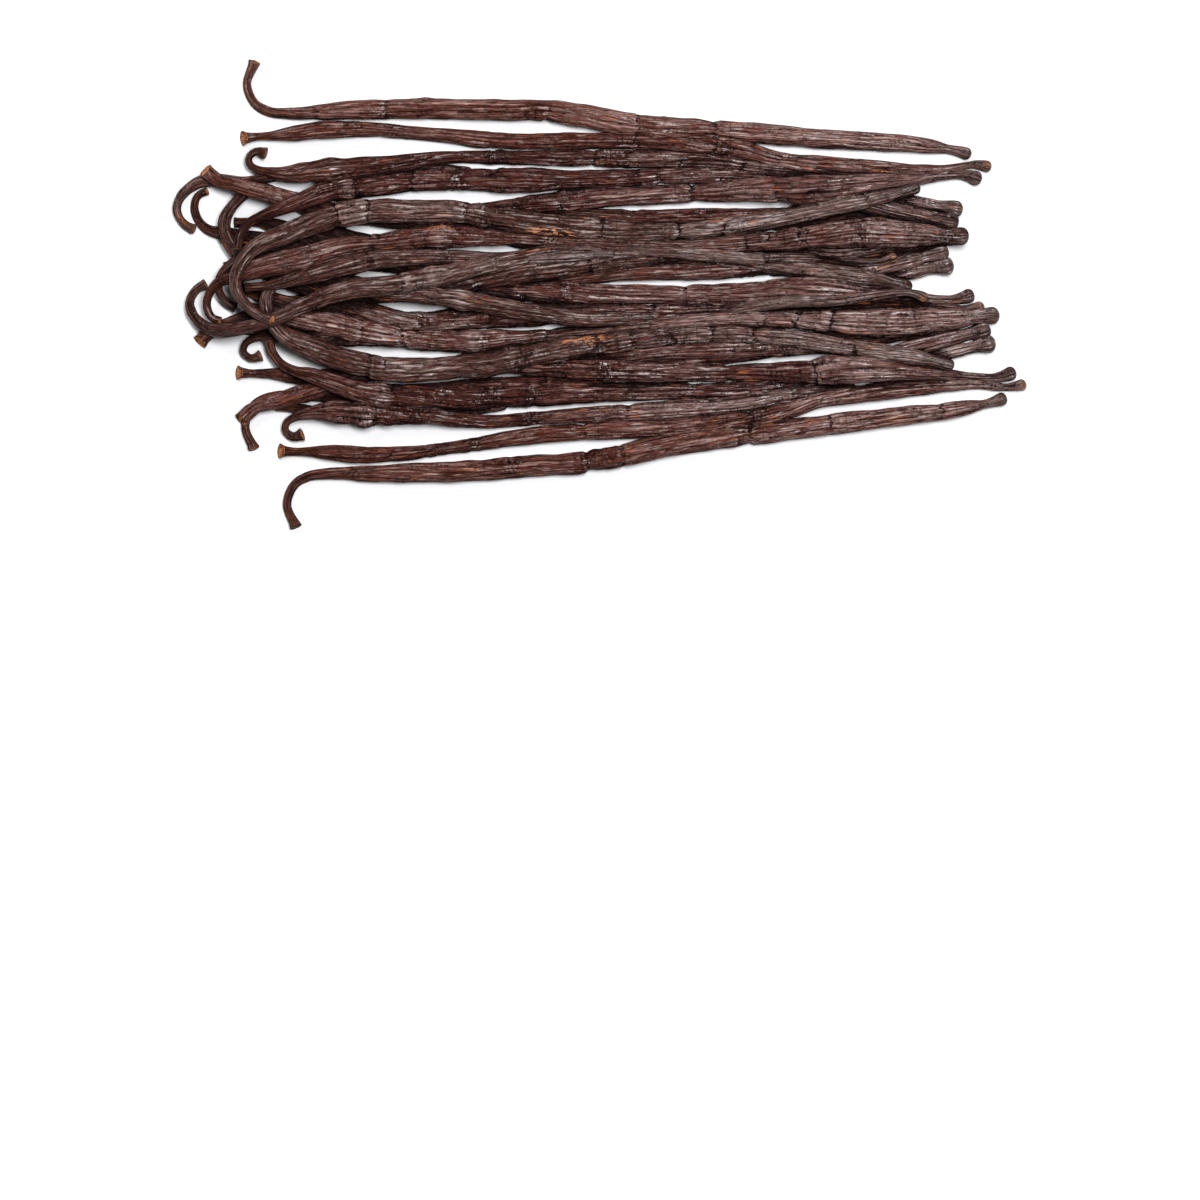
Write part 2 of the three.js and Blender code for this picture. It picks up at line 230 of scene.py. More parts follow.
def through(points):
    """A centripetal Catmull-Rom curve through the points, as close steps."""
    ends = [2 * points[0] - points[1]], [2 * points[-1] - points[-2]]
    knots = np.vstack([ends[0], points, ends[1]])
    gap = np.sqrt(np.linalg.norm(np.diff(knots, axis=0), axis=1))
    t = np.linspace(0, 1, CURVE_STEPS, endpoint=False)[:, None]
    stretches = []
    for k in range(1, len(knots) - 2):
        before, here, there, after = knots[k - 1:k + 3]
        left, middle, right = gap[k - 1:k + 2]
        steady = (there - here) / middle
        leaving = (here - before) / left - (there - before) / (left + middle) + steady
        arriving = steady - (after - here) / (middle + right) + (after - there) / right
        stretches.append(
            (2 * t**3 - 3 * t**2 + 1) * here + (t**3 - 2 * t**2 + t) * middle * leaving
            + (3 * t**2 - 2 * t**3) * there + (t**3 - t**2) * middle * arriving)
    return np.vstack([*stretches, points[-1:]])


def run_along(curve):
    """The distance along a curve in plan, at each of its points."""
    steps = np.linalg.norm(np.diff(curve[:, :2], axis=0), axis=1)
    return np.concatenate([[0], np.cumsum(steps)])


def hill(distance, length):
    """A smooth hill, one high, that falls away over this length."""
    return np.exp(-((distance / length) ** 2))


def half_thickness(width):
    """A thin stem is nearly round, and a full belly is pressed flat."""
    fullness = np.clip((width - STEM_WIDTH) / (BELLY_WIDTH - STEM_WIDTH), 0, 1)
    return width / 2 * (STEM_THICKNESS + (BELLY_THICKNESS - STEM_THICKNESS) * fullness)


def stations_along(points):
    """The pod's line in plan as evenly spaced stations, with the pod's size at each."""
    curve = through(points)
    run = run_along(curve)
    length = run[-1] - DOME_LENGTH * (1 + KNOB) * points[-1, 2]
    s = np.linspace(0, length, round(length / RING_SPACING) + 1)
    x, y, width = (np.interp(s, run, column) for column in curve.T)
    from_tip = s[-1] - s
    width = width * (1 + FLARE * np.exp(-s / FLARE_LENGTH))
    width = width * (1 + KNOB * hill(from_tip, KNOB_LENGTH))
    width = width * (1 - NECK * hill(from_tip - NECK_FROM_TIP, NECK_LENGTH))
    heading = np.stack([np.gradient(x, s), np.gradient(y, s)])
    heading = heading / np.linalg.norm(heading, axis=0)
    return SimpleNamespace(s=s, x=x, y=y, width=width, half=half_thickness(width), heading=heading)


sample = stations_along(placed(HANDFUL["wide_belly"], HANDFULS[2]))
print("rings on one pod:", len(sample.s), "over", round(sample.s[-1]), "mm")

# %% [markdown]
# Pods are heavy and limp for their size, so an upper one sags between those that carry it. Cloth
# or soft body physics could find that, but three dozen long bodies would take minutes. A map of
# heights does it at once: each pod in turn is lifted just onto what lies under it, its line is
# let down again after each crossing, and its top is added to the map.

# %% The pile as a map of heights
CELL = 0.25
MAP_HALF_LENGTH, MAP_HALF_WIDTH = 100.0, 60.0
PRESSED_FLAT = 0.25
PRESSED_IN = 0.8
BEARING = 0.6
DRAPE = 0.018
SMOOTHING = 2.5
POINTS_ACROSS = 25
map_shape = (int(2 * MAP_HALF_WIDTH / CELL), int(2 * MAP_HALF_LENGTH / CELL))
carrying = np.zeros(map_shape)


def cells_at(x, y):
    """The row and the column in the map, with fractions."""
    row = np.clip((y + MAP_HALF_WIDTH) / CELL, 0, map_shape[0] - 1.001)
    column = np.clip((x + MAP_HALF_LENGTH) / CELL, 0, map_shape[1] - 1.001)
    return row, column


def height_at(heights, x, y):
    """The map's height at places between its cells."""
    row, column = cells_at(x, y)
    low_row, low_column = row.astype(int), column.astype(int)
    down, right = row - low_row, column - low_column
    upper = heights[low_row, low_column] * (1 - right) + heights[low_row, low_column + 1] * right
    lower = heights[low_row + 1, low_column] * (1 - right) + heights[low_row + 1, low_column + 1] * right
    return upper * (1 - down) + lower * down


def stamp(heights, x, y, z):
    """Raises the map to these heights."""
    row, column = cells_at(x, y)
    np.maximum.at(heights, (np.round(row).astype(int), np.round(column).astype(int)), z)


def settle(line):
    """The height of the pod's centre line once it lies on the pile."""
    share = np.linspace(-BEARING, BEARING, POINTS_ACROSS)
    offset = line.width[:, None] / 2 * share
    rise = line.half[:, None] * np.sqrt(1 - share**2)
    x = line.x[:, None] + offset * line.heading[1][:, None]
    y = line.y[:, None] - offset * line.heading[0][:, None]
    under = height_at(carrying, x, y)
    lowest = line.half - PRESSED_FLAT
    carried = np.where(under > PRESSED_FLAT, under + rise - PRESSED_IN, 0).max(axis=1)
    apart = line.s[:, None] - line.s
    draped = (np.maximum(lowest, carried) - DRAPE * apart**2).max(axis=1)
    weights = np.exp(-0.5 * (apart / SMOOTHING) ** 2)
    line.z = np.maximum(lowest, weights @ draped / weights.sum(axis=1))
    stamp(carrying, x, y, line.z[:, None] + rise)


print("map cells:", map_shape)

# %% [markdown]
# The wrinkles come from lattice noise: smooth random hills on a grid of cells. Blender has it as
# a texture and as a displacement, but a wrinkle has to be known here too, so that a fold can be
# coloured darker than a ridge. The slopes at the grid points are drawn once, from a fixed seed.

# %% Smooth noise
NOISE_SEED, SLOPE_COUNT = 11, 4096
NOISE_GAIN = 1.5
# large primes, so that neighbouring cells take unlike slopes
HASH = (73856093, 19349663, 83492791)
SEED_STEP = 15485863
SLOPES = np.random.default_rng(NOISE_SEED).normal(size=(SLOPE_COUNT, 3))
SLOPES /= np.linalg.norm(SLOPES, axis=1, keepdims=True)


def noise(x, y, z, seed):
    """Lattice noise, mostly between -1 and 1, at points given in cells."""
    point = np.stack(np.broadcast_arrays(x, y, z), axis=-1).astype(float)
    cell = np.floor(point).astype(np.int64)
    inside = point - cell
    ease = inside**3 * (inside * (inside * 6 - 15) + 10)
    total = np.zeros(point.shape[:-1])
    for corner in itertools.product((0, 1), repeat=3):
        at = cell + corner
        key = at[..., 0] * HASH[0] ^ at[..., 1] * HASH[1] ^ at[..., 2] * HASH[2] ^ seed * SEED_STEP
        weight = np.prod(np.where(corner, ease, 1 - ease), axis=-1)
        total += weight * np.sum(SLOPES[key % len(SLOPES)] * (inside - corner), axis=-1)
    return NOISE_GAIN * total


def skin_noise(turned, s, around, length, seed):
    """Noise on a pod's skin, with cells this long, read on a circle of so many cells' radius."""
    return noise(around * np.cos(turned), around * np.sin(turned), s / length, seed)


trial = np.random.default_rng(1).uniform(0, 50, (3, 9999))
print("noise spread:", round(float(noise(*trial, 3).std()), 2))

# %% [markdown]
# How a pod's skin is wrinkled. As the pod shrinks, its skin is drawn into ribs that run the pod's
# way and wander a little, with sharp grooves between them and finer ribs in patches. Here and
# there it has cracked across, and one lip stands over the other, or puckered into a knot.
# Sculpting this by hand is possible on one pod, but not on three dozen, so each kind of wrinkle
# is a function of the place on the skin.

# %% Wrinkles
# shares are of the pod's radius, and lengths, gaps and depths are in millimetres
RIB_SHARE, RIB_LENGTH = 0.24, 17.0
FINE_RIB_SHARE, FINE_RIB_LENGTH = 0.12, 8.0
FLUTE_SHARE, FLUTE_LENGTH, FLUTES_AROUND = 0.10, 26.0, 1.1
DENT_SHARE, DENT_LENGTH, DENTS_AROUND = 0.10, 4.5, 1.2
STEM_RIB_GAIN, STEM_RIB_LENGTH = 1.2, 30.0
RIB_WANDER, SMALL_WANDER = 2.4, 0.35
GROOVE_SHARPNESS = 1.6
CRACK_GAP, CRACK_FROM_TIP = (10.0, 32.0), 6.0
CRACK_FORCE, FORCE_POWER, DEEP_FORCE = (0.2, 1.0), 1.5, 1.4
CRACK_DEPTH = 0.34
CRACK_SLANT, CRACK_JAG, JAG_LENGTH = 0.9, 0.5, 3.0
CRACK_REACH = (-0.8, 0.1)
CRACK_LIP, CRACK_SLOPE, CRACK_FAR = 0.5, 1.6, 3.0
PUCKER_DEPTH, PUCKER_LENGTH, PUCKERS_AROUND = 0.55, 2.1, 2.0
SEGMENT_STEP = 0.035
# where a wrinkle is strong: its level and how much that varies, and the size of the patches
RIB_PATCHES = {"level": 0.8, "gain": 1.0, "least": 0.2, "around": 1.7, "length": 15.0}
FINE_RIB_PATCHES = {"level": 0.6, "gain": 1.5, "least": 0.0, "around": 1.0, "length": 9.0}
KNOT_PATCHES = {"level": 0.9, "gain": 1.4, "least": 0.0, "around": 1.0, "length": 5.0}


def in_patches(turned, s, seed, level, gain, least, around, length):
    """How strong a wrinkle is from place to place, up to one."""
    return np.clip(level + gain * skin_noise(turned, s, around, length, seed), least, 1)


def ribs(turned, s, count, length, seed):
    """How deep in a groove between ribs each point lies, from 0 on a rib to 1 in the groove."""
    wander = skin_noise(turned, s, 1, length, seed)
    wander = wander + SMALL_WANDER * skin_noise(turned, s, 2, length / 3, seed + 1)
    return (1 - np.abs(np.sin(count * turned / 2 + RIB_WANDER * wander))) ** GROOVE_SHARPNESS


def cracks(angle, s, places, draw, seed):
    """How deep the skin has sunk behind the cracks, in mm, how far past the nearest crack a point is,
    how strong that crack is there, and the tone of the segment between two cracks."""
    depth = np.zeros(np.broadcast_shapes(angle.shape, s.shape))
    past = np.full(depth.shape, CRACK_FAR)
    strength = np.zeros(depth.shape)
    segment = np.full(depth.shape, draw.uniform(-1, 1))
    jag = CRACK_JAG * skin_noise(angle, s, 2, JAG_LENGTH, seed)
    for place, force in sorted(places):
        slant = draw.uniform(-CRACK_SLANT, CRACK_SLANT)
        facing = draw.uniform(0, math.tau)
        reach = draw.uniform(*CRACK_REACH) + force
        beyond = s + slant * np.cos(angle - facing) + jag - place
        segment = np.where(beyond > 0, draw.uniform(-1, 1), segment)
        off = draw.choice([-1, 1]) * beyond
        there = force * np.clip((np.cos(angle - facing) + reach) * 2, 0, 1)
        behind = np.where(off < 0, hill(off, CRACK_LIP), np.exp(-off / CRACK_SLOPE))
        depth = np.maximum(depth, CRACK_DEPTH * behind * there)
        nearer = np.abs(off) < np.abs(past)
        past = np.where(nearer, off, past)
        strength = np.where(nearer, there, strength)
    return depth, past, np.minimum(strength, 1), segment


def crack_places(length, draw):
    """Stations of the cracks across a pod, with the force of each."""
    places = []
    at = draw.uniform(*CRACK_GAP)
    while at < length - CRACK_FROM_TIP:
        places.append((at, draw.uniform(*CRACK_FORCE) ** FORCE_POWER))
        at += draw.uniform(*CRACK_GAP)
    return places


print("ribs and cracks are defined")

# %% [markdown]
# Some marks have their own place: the knuckle where a belly ends, a puckered knot, a deep crack,
# and the orange scuff where the skin has been rubbed off. Each is given by the pod's name and by
# how far along the bundle it sits.

# %% Marks with a place of their own
KNUCKLES = {"wide_belly": [-33.0], "wide_loop": [-25.0], "small_hook": [-56.5], "bent_stem": [-53.0],
            "big_curl": [-35.0]}
KNOTS = {"knotted": [-15.0, -6.0], "bent_stem": [-29.6, -21.5], "small_hook": [-21.5],
         "square_cut": [-43.0, 26.0], "wide_loop": [-24.0]}
DEEP_CRACKS = {"long_hook": [-10.3, 24.4], "square_cut": [24.6], "bent_stem": [-50.5, 12.7, 36.0],
               "wide_belly": [-48.0, 36.0, 43.0], "wide_loop": [-55.0, 1.0, 17.0, 26.0],
               "small_hook": [-0.5], "knotted": [20.0]}
BROKEN_TIPS = {"big_curl": 1.0, "square_cut": 0.5}
SCUFF = SimpleNamespace(pod="wide_loop", start=-15.0, end=-4.0, angle=math.radians(32), width=0.55)
SCUFF_CORE, SCUFF_FADE, SCUFF_WANDER, SCUFF_LENGTH = 1.3, 2.0, 0.5, 4.0
BROKEN_LENGTH = 0.9
KNUCKLE_LENGTH, KNUCKLE_RISE, KNUCKLE_WAIST = 1.6, 0.09, 0.07
KNOT_LENGTH = 2.6
KNOT_SPACING, KNOT_GAIN, KNOT_RARITY = 7.0, 2.2, 0.6
HOOK_SHARE = 0.1


def stations_at(places, name, line):
    """The distances along a pod where its line in the handful passes each x, beyond the hook."""
    plan = through(np.array(HANDFUL[name], float))
    run = run_along(plan)
    in_hook = run < HOOK_SHARE * run[-1]
    return [run[np.argmin(np.where(in_hook, np.inf, np.abs(plan[:, 0] - x)))] * line.s[-1] / run[-1]
            for x in places]


marks = [places for kind in (KNUCKLES, KNOTS, DEEP_CRACKS) for places in kind.values()]
print("named marks:", sum(len(places) for places in marks))

# %% [markdown]
# One pod's skin as rings of points. A pod could be a curve with a bevel, but a bevelled curve has
# the same round section everywhere. Rings of points take any section: each point starts on the
# oval, goes in by the depth of its wrinkle, and is then pressed to what lies under it, as soft
# skin is. Its flank folds down over its neighbour, so no pod stands on edge.

# %% The skin of one pod
LEAST_THICKNESS = 0.42
LIFT_LIMIT = 1.1
CLEAR_OF_TABLE = 0.01
PLUMP = 1.03
SWELL, SWELL_LENGTH = 0.055, 11.0
TWIST_LENGTH = 120.0
DRIFT, DRIFT_LENGTH = 0.5, 40.0
CROWDING = 0.35
FULL_DEPTH_RADIUS = 1.6
FIBRE_RADIUS, FIBRE_SHIFT = 2.1, 7.3
TIP_LENGTH, TIP_KNOT = 3.5, 0.3
STEM_GREY, TIP_GREY = 0.12, 0.7
SHEEN_FROM, SHEEN_AT_TIPS = 0.45, 1.3
FLANK_FALL = 1.5
# widths over which a stem's ribs and a stem's colour end, and the distances from its end, in mm
STEM_RIBS_END = (2.1, 3.3)
STEM_COLOUR_END = (1.9, 2.7)
STEM_REACH = (18.0, 36.0)
skin_map = np.zeros(map_shape)


def softened(heights, radius=3, spread=1.2):
    """The map with its steps blurred over a few cells."""
    weights = np.exp(-0.5 * (np.arange(-radius, radius + 1) / spread) ** 2)
    weights /= weights.sum()
    for axis in (0, 1):
        shifts = zip(range(-radius, radius + 1), weights)
        heights = sum(weight * np.roll(heights, shift, axis) for shift, weight in shifts)
    return heights


def falling(value, full, none):
    """One up to the first value, falling to nothing at the second."""
    return np.clip((none - value) / (none - full), 0, 1)


def wrinkles(name, line, look, angle, turned, draw, seed):
    """The ribs, cracks and knots at the points of one pod's skin."""
    s, width = line.s[:, None], line.width[:, None]
    count = int(draw.integers(*look.ribs))
    folds = ribs(turned, s, count, RIB_LENGTH, seed + 2)
    stem_folds = STEM_RIB_GAIN * ribs(turned, s, count // 2, STEM_RIB_LENGTH, seed + 18)
    folds = folds + falling(width, *STEM_RIBS_END) * (stem_folds - folds)
    folds = folds * in_patches(turned, s, seed + 10, **RIB_PATCHES)
    fine = ribs(turned, s, 2 * count + 3, FINE_RIB_LENGTH, seed + 12)
    fine = fine * in_patches(turned, s, seed + 14, **FINE_RIB_PATCHES)
    places = crack_places(line.s[-1], draw)
    places += [(at, DEEP_FORCE) for at in stations_at(DEEP_CRACKS.get(name, []), name, line)]
    sunk, past, strength, segment = cracks(angle, s, places, draw, seed + 5)
    knot = noise(s / KNOT_SPACING, 0.3, 0.7, seed + 6) * KNOT_GAIN - KNOT_RARITY + look.pucker
    knot = np.clip(knot, 0, 1) + 0 * angle
    for at in stations_at(KNOTS.get(name, []), name, line):
        knot = np.maximum(knot, hill(s - at, KNOT_LENGTH))
    knot = np.maximum(knot, TIP_KNOT * hill(s - line.s[-1], TIP_LENGTH))
    knot = knot * in_patches(turned, s, seed + 16, **KNOT_PATCHES)
    return SimpleNamespace(
        folds=folds, fine=fine, sunk=sunk, past=past, strength=strength, segment=segment, knot=knot)


def scars(name, line, handful, angle, seed):
    """Where the skin is rubbed or broken through to the orange fibre."""
    s = line.s[:, None]
    scar = BROKEN_TIPS.get(name, 0.0) * hill(s - line.s[-1], BROKEN_LENGTH) + 0 * angle
    if name == SCUFF.pod:
        start, end = stations_at((SCUFF.start, SCUFF.end), name, line)
        centre = math.pi - SCUFF.angle if handful.mirrored else SCUFF.angle
        away = (angle - centre) / SCUFF.width + SCUFF_WANDER * noise(s / SCUFF_LENGTH, 0.2, 0.4, seed + 9)
        within = np.clip((s - start) / SCUFF_FADE, 0, 1) * np.clip((end - s) / SCUFF_FADE, 0, 1)
        scar = np.maximum(scar, within * np.clip(SCUFF_CORE - away**2, 0, 1))
    return scar


def pod_skin(name, line, handful, look, draw, seed):
    """The points of one pod's skin, ring by ring, with what the paint needs to know."""
    even = np.linspace(0, math.tau, look.sides, endpoint=False)[None, :]
    angle = even + CROWDING * np.cos(even)
    s, width, half = line.s[:, None], line.width[:, None], line.half[:, None]
    drift = DRIFT * noise(s / DRIFT_LENGTH, 0.5, 0.5, seed + 1)
    turned = angle + draw.uniform(0, math.tau) + s / TWIST_LENGTH * draw.uniform(-1, 1) + drift
    radius = (width / 2 + half) / 2
    wrinkled = wrinkles(name, line, look, angle, turned, draw, seed)

    flutes = skin_noise(turned, s, FLUTES_AROUND, FLUTE_LENGTH, seed + 4)
    dents = skin_noise(turned, s, DENTS_AROUND, DENT_LENGTH, seed + 11)
    pucker = wrinkled.knot * skin_noise(turned, s, PUCKERS_AROUND, PUCKER_LENGTH, seed + 7)
    depth = radius * (look.fold * (RIB_SHARE * wrinkled.folds + FINE_RIB_SHARE * wrinkled.fine)
                      + FLUTE_SHARE * flutes + DENT_SHARE * dents)
    depth = depth + np.minimum(1, radius / FULL_DEPTH_RADIUS) * (wrinkled.sunk + PUCKER_DEPTH * pucker)
    # the half of the pod towards its tip is painted paler, as a painted sheen
    to_tip = (s / line.s[-1] - SHEEN_FROM) / (1 - SHEEN_FROM)
    pale = SHEEN_AT_TIPS * np.clip(to_tip, 0, 1) + 0 * angle
    swell = SWELL * noise(s / SWELL_LENGTH, 0.1, 0.9, seed + 8)
    body = PLUMP * (1 + swell + SEGMENT_STEP * wrinkled.segment)
    for at in stations_at(KNUCKLES.get(name, []), name, line):
        off = (s - at) / KNUCKLE_LENGTH
        body = body * (1 + KNUCKLE_RISE * hill(off, 1) - KNUCKLE_WAIST * hill(np.abs(off) - 2, 1))
        # a knuckle is painted paler too, as a painted highlight
        pale = pale + hill(off, 1)
    inward = body * (1 - depth / radius)

    slope = np.gradient(line.z, line.s)[:, None]
    right = np.stack([line.heading[1], -line.heading[0]])[:, :, None]
    out = width / 2 * np.cos(angle) * inward
    up = half * np.sin(angle) * inward
    lean = -up * slope / np.sqrt(1 + slope**2)
    x = line.x[:, None] + right[0] * out + line.heading[0][:, None] * lean
    y = line.y[:, None] + right[1] * out + line.heading[1][:, None] * lean
    z = line.z[:, None] + up

    stem = falling(width, *STEM_COLOUR_END) * falling(s, *STEM_REACH)
    tip = hill(s - line.s[-1], TIP_LENGTH)
    round_pod = FIBRE_RADIUS * np.cos(turned), FIBRE_RADIUS * np.sin(turned)
    return SimpleNamespace(
        x=x, y=y, z=z, rise=np.abs(up), angle=angle,
        straight=np.stack(np.broadcast_arrays(*round_pod, s + FIBRE_SHIFT * seed), -1),
        fold=np.clip(wrinkled.folds + 0.5 * wrinkled.fine, 0, 1), past=wrinkled.past,
        strength=wrinkled.strength, segment=wrinkled.segment, knot=wrinkled.knot,
        grey=np.clip(STEM_GREY * stem + TIP_GREY * tip + 0 * angle, 0, 1), stem=stem + 0 * angle,
        # flank is a painted shade: a pod's sides are painted darker than its top, where less light falls
        flank=(1 - np.sin(angle)).clip(0, 1) ** FLANK_FALL + 0 * s,
        scar=scars(name, line, handful, angle, seed), pale=np.clip(pale, 0, 1))


def press(skin, under):
    """Presses the skin's points to what lies under them, and keeps some of the pod above that."""
    below = height_at(under, skin.x, skin.y)
    lower = np.sin(skin.angle) < -1e-6
    bottom = np.where(lower, skin.z, skin.z - 2 * skin.rise)
    lift = np.clip(below - bottom, 0, skin.rise.max(axis=1, keepdims=True) * LIFT_LIMIT)
    least = bottom + lift + LEAST_THICKNESS * 2 * skin.rise
    skin.z = np.where(lower, bottom + lift, np.maximum(skin.z, least))
    skin.z = np.maximum(skin.z, CLEAR_OF_TABLE)


def stamp_skin(skin, times=3):
    """Adds the top of a skin to the map, with points set between its own so that no cell is missed."""
    grids = []
    for grid in (skin.x, skin.y, skin.z):
        grid = np.concatenate([grid, grid[:, :1]], axis=1)
        rows = np.linspace(0, len(grid) - 1, times * len(grid))
        low = np.minimum(rows.astype(int), len(grid) - 2)
        part = (rows - low)[:, None]
        grid = grid[low] * (1 - part) + grid[low + 1] * part
        grids.append(np.concatenate([grid[:, :-1], (grid[:, 1:] + grid[:, :-1]) / 2], axis=1))
    stamp(skin_map, *grids)


print("skin functions are defined")

# %% [markdown]
# The two ends. The stem end was cut or torn from the vine and is a shallow dish of orange fibre
# inside a dark rim. The tip closes in a small dome. Both are more rings of the same skin, drawn
# in towards the middle. The dish is a piece by itself, because it has another finish.

# %% Rings that close the ends
DISH = [(0.93, 0.02), (0.80, 0.16), (0.55, 0.20), (0.25, 0.12)]
DOME_STEPS = 5
CUT_SLANT, CUT_REACH = 0.55, 2.6
OLD_SLANT, FRESH_SLANT = 0.3, 0.6
RIM_DARKNESS = np.array([[0.0], [0.0], [0.0], [0.5], [1.0]])


def slant_cut(skin, line, amount):
    """Leans the cut stem end back, so that it faces a little upwards."""
    near_cut = np.exp(-line.s[:, None] / CUT_REACH)
    back = amount * CUT_SLANT * line.half[:, None] * (1 + np.sin(skin.angle)) * near_cut
    skin.x = skin.x + line.heading[0][:, None] * back
    skin.y = skin.y + line.heading[1][:, None] * back


def drawn_in(skin, ring, rings, along):
    """More rings at one end: each is the end ring drawn in to a share of its size and moved along."""
    points = np.stack([skin.x[ring], skin.y[ring], skin.z[ring]], axis=1)
    middle = points.mean(axis=0)
    forward = np.array([along[0], along[1], 0.0])
    return [middle + share * (points - middle) + forward * move for share, move in rings], middle


print("end rings:", len(DISH), "and", DOME_STEPS)

# %% [markdown]
# Pods of one batch differ in how wet and how old they are. Five looks share the three dozen:
# reddish and matt, dark and glossy, slender and deeply folded, grey and leathery, and broad.
# Each look becomes one mesh and one material, which also keeps the number of pieces small.

# %% The looks
LOOKS = {
    "reddish": SimpleNamespace(
        pods=["square_cut", "long_hook", "bright_end"], sides=70, ribs=(10, 13), fold=0.9, pucker=-0.1),
    "glossy": SimpleNamespace(
        pods=["bent_stem", "knotted"], sides=76, ribs=(10, 14), fold=1.1, pucker=0.25),
    "slender": SimpleNamespace(
        pods=["small_hook", "fan_tip", "bare_stem"], sides=72, ribs=(9, 12), fold=1.15, pucker=0.15),
    "greyish": SimpleNamespace(
        pods=["wide_loop", "under_middle", "big_curl"], sides=64, ribs=(11, 15), fold=0.85, pucker=-0.15),
    "broad": SimpleNamespace(
        pods=["wide_belly"], sides=88, ribs=(14, 18), fold=0.9, pucker=0.0),
}
FRESH_ENDS = {"bright_end": 1.0, "wide_loop": 0.75, "big_curl": 0.2, "square_cut": 0.75, "wide_belly": 0.5,
              "small_hook": 0.35}
OLD_ENDS = (0.05, 0.3)
CREVICE_START, CREVICE_DEPTH = 0.1, 1.1
PAINTED = ("fold", "past", "strength", "segment", "knot", "flank", "grey", "stem", "scar", "pale", "tone")
look_of = {pod: name for name, look in LOOKS.items() for pod in look.pods}


class Mesh:
    """Points, faces and painted values gathered from many pods."""

    def __init__(self, painted):
        self.points, self.faces, self.straight, self.count = [], [], [], 0
        self.values = {name: [] for name in painted}

    def add_rings(self, points, straight, values, close_start=None, close_end=None):
        """Adds rings of points, joined by quads, and closes either end round a middle point."""
        rings, sides = points.shape[:2]
        index = self.count + np.arange(rings * sides).reshape(rings, sides)
        following = np.roll(index, -1, axis=1)
        quads = np.stack([index[:-1], following[:-1], following[1:], index[1:]], axis=-1).reshape(-1, 4)
        self.faces.append(quads)
        self.points.append(points.reshape(-1, 3))
        self.straight.append(straight.reshape(-1, 3))
        spread = {name: np.broadcast_to(values[name], (rings, sides)) for name in self.values}
        for name, value in spread.items():
            self.values[name].append(value.reshape(-1))
        self.count += rings * sides
        for middle, edge, flip in ((close_start, 0, True), (close_end, -1, False)):
            if middle is None:
                continue
            ring = index[edge]
            fan = np.stack([ring, np.roll(ring, -1), np.full(sides, self.count)], axis=1)
            self.faces.append(fan[:, ::-1] if flip else fan)
            self.points.append(np.array([middle]))
            self.straight.append(straight[edge].mean(axis=0, keepdims=True))
            for name, value in spread.items():
                self.values[name].append(value[edge].mean(keepdims=True))
            self.count += 1

    def build(self, name, shift, surroundings):
        """Makes the Blender object, in metres, and paints how shut in each point is, which darkens it as a
        painted shade.
        """
        data = bpy.data.meshes.new(name)
        points = np.vstack(self.points)
        sunk = height_at(surroundings, points[:, 0], points[:, 1]) - points[:, 2]
        self.values["crevice"] = [np.clip(sunk / CREVICE_DEPTH - CREVICE_START, 0, 1)]
        points = (points + shift) * MM
        corners = np.concatenate([faces.reshape(-1) for faces in self.faces])
        totals = np.concatenate([np.full(len(faces), faces.shape[1]) for faces in self.faces])
        data.vertices.add(len(points))
        data.vertices.foreach_set("co", points.astype(np.float32).reshape(-1))
        data.loops.add(len(corners))
        data.loops.foreach_set("vertex_index", corners.astype(np.int32))
        data.polygons.add(len(totals))
        data.polygons.foreach_set("loop_start", (np.cumsum(totals) - totals).astype(np.int32))
        data.polygons.foreach_set("loop_total", totals.astype(np.int32))
        data.update(calc_edges=True)
        data.validate()
        data.shade_smooth()
        straight = data.attributes.new("straight", "FLOAT_VECTOR", "POINT")
        straight.data.foreach_set("vector", np.vstack(self.straight).astype(np.float32).reshape(-1))
        for value, parts in self.values.items():
            painted = data.attributes.new(value, "FLOAT", "POINT")
            painted.data.foreach_set("value", np.concatenate(parts).astype(np.float32))
        piece = bpy.data.objects.new(name, data)
        bpy.context.scene.collection.objects.link(piece)
        print(name, "triangles:", int((totals - 2).sum()))
        return piece


meshes = {name: Mesh(PAINTED) for name in LOOKS}
ends = Mesh(("fresh", "grey"))
print("looks:", list(LOOKS))

# %% [markdown]
# Now the pods are laid down one by one, the lowest first. The order matters: each is pressed onto
# the map that those before it have left.

